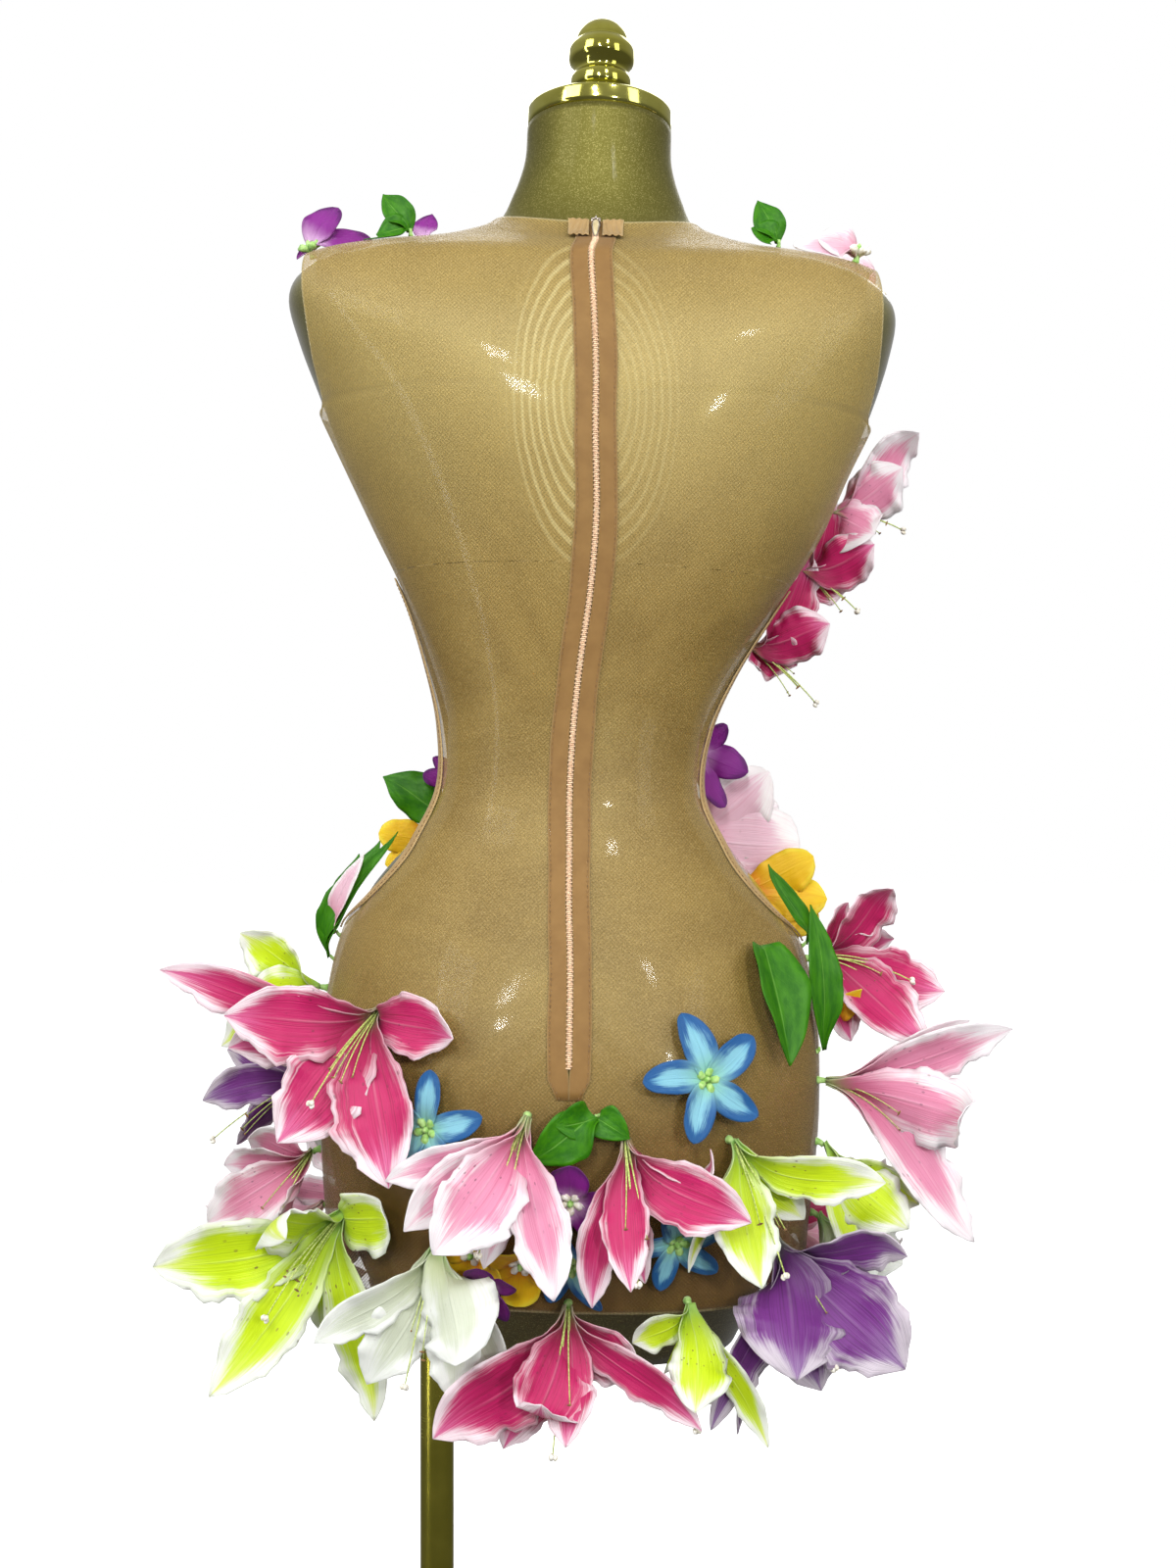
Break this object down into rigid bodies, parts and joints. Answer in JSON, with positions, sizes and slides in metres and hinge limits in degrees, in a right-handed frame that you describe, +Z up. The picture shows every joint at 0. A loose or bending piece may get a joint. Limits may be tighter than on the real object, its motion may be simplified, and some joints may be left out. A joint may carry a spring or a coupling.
{
  "type": "mini dress with silk flowers on a limbless dress form",
  "caption": "Sheer nude stretch net mini dress with back zip, waist cut-outs and silk lilies, orchids and leaves, on a gold limbless dress form with a pole stand.",
  "frame": {"origin": "centre of the underside of the stand's round foot, on the pole's axis and on the floor", "axes": "+Z up along the pole; -Y is the way the wearer's back faces; +X is the wearer's right"},
  "size_m": [0.5329, 0.4193, 1.5003],
  "materials": {
    "band": "the same net, doubled and topstitched",
    "form_paint": "satin olive gold paint with a fine metallic sparkle",
    "leaf": "coated silk leaf, glossy deep green with pale veins",
    "net": "sheer nude stretch net, fine mesh, slight sheen",
    "petal_blush": "silk petal, pale pink with white margins",
    "petal_gold": "silk petal, golden yellow",
    "petal_hot": "silk petal, hot pink with white margins and dark spots",
    "petal_lime": "silk petal, yellow green fading to white tips",
    "petal_plum": "silk petal, deep magenta purple",
    "petal_shell": "silk petal, white flushed with pink",
    "petal_sky": "silk petal, sky blue with a green throat",
    "petal_violet": "silk petal, violet with pale margins",
    "petal_white": "silk petal, white with a pale green throat",
    "polished_gold": "mirror polished gold plating",
    "zip_coil": "moulded nylon coil, pinkish cream",
    "zip_metal": "pale lacquered metal",
    "zip_tape": "fine woven nude tape behind the net"
  },
  "bodies": {
    "dress": {"dress_form": "form_paint", "dress_front": "net", "dress_back_right": "net", "dress_back_left": "net", "neck_cap": "polished_gold", "finial": "polished_gold", "zip_tape_right": "zip_tape", "neck_tab_right": "band", "cutout_band_back_right": "band", "cutout_band_front_right": "band", "zip_tape_left": "zip_tape", "neck_tab_left": "band", "cutout_band_back_left": "band", "cutout_band_front_left": "band", "zip_coil": "zip_coil", "zip_slider": "zip_metal", "lily_01": "petal_hot", "lily_02": "petal_lime", "lily_03": "petal_violet", "lily_04": "petal_blush", "lily_05": "petal_lime", "lily_06": "petal_white", "lily_07": "petal_blush", "lily_08": "petal_hot", "lily_09": "petal_lime", "lily_10": "petal_violet", "lily_11": "petal_hot", "lily_12": "petal_lime", "lily_13": "petal_blush", "lily_14": "petal_hot", "lily_15": "petal_lime", "lily_16": "petal_white", "lily_17": "petal_shell", "lily_18": "petal_white", "lily_19": "petal_shell", "lily_20": "petal_hot", "lily_21": "petal_lime", "lily_22": "petal_violet", "lily_23": "petal_blush", "orchid_blue_1": "petal_sky", "orchid_blue_2": "petal_sky", "orchid_plum_2": "petal_plum", "orchid_shell_1": "petal_shell", "orchid_gold_2": "petal_gold", "orchid_plum_4": "petal_plum", "orchid_shell_2": "petal_shell", "orchid_shell_3": "petal_shell", "lily_26": "petal_blush", "lily_27": "petal_hot", "lily_28": "petal_hot", "leaf_01": "leaf", "leaf_03": "leaf", "leaf_04": "leaf", "leaf_07": "leaf", "leaf_08": "leaf", "pole": "polished_gold", "base": "polished_gold"},
    "pull": {"zip_pull": "zip_metal"}
  },
  "joints": [
    {"name": "pull_swing", "type": "hinge", "parent": "dress", "child": "pull", "pos_m": [0.10512, -0.05751, 1.34369], "axis": [-0.9995, 0, 0.0314], "range_deg": [0, 150]}
  ]
}
